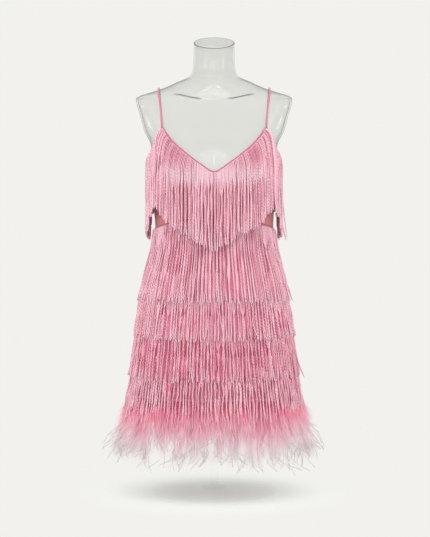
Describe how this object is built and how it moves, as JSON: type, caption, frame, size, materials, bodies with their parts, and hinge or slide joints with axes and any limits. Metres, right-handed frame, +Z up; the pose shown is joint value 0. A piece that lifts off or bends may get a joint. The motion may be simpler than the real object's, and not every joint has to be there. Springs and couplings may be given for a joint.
{
  "type": "fringed flapper dress on a limbless dress form",
  "caption": "Sleeveless V-neck flapper dress with thin straps, tiers of hanging fringe and a feather hem, worn on a clear limbless dress form with a pole and round base.",
  "frame": {"origin": "on the floor, under the middle of the round base", "axes": "+Z up, the front of the dress faces -Y, +X is the wearer's left"},
  "size_m": [0.4972, 0.4032, 1.0917],
  "materials": {
    "clear_acrylic": "polished clear acrylic",
    "pink_satin": "satin",
    "pink_binding": "satin",
    "pink_rayon_fringe": "twisted rayon, soft gloss",
    "pink_ostrich_feather": "matte down"
  },
  "bodies": {
    "root": {"form_torso": "clear_acrylic", "form_plate": "clear_acrylic", "form_pole": "clear_acrylic", "form_base": "clear_acrylic", "bodice_front": "pink_satin", "bodice_back": "pink_satin", "skirt_front": "pink_satin", "skirt_back": "pink_satin", "binding_front": "pink_binding", "binding_back": "pink_binding", "strap_left": "pink_binding", "strap_right": "pink_binding", "fringe_bodice_front": "pink_rayon_fringe", "fringe_bodice_back": "pink_rayon_fringe", "fringe_skirt_1": "pink_rayon_fringe", "fringe_skirt_2": "pink_rayon_fringe", "fringe_skirt_3": "pink_rayon_fringe", "fringe_skirt_4": "pink_rayon_fringe", "feather_trim": "pink_ostrich_feather"}
  },
  "joints": []
}
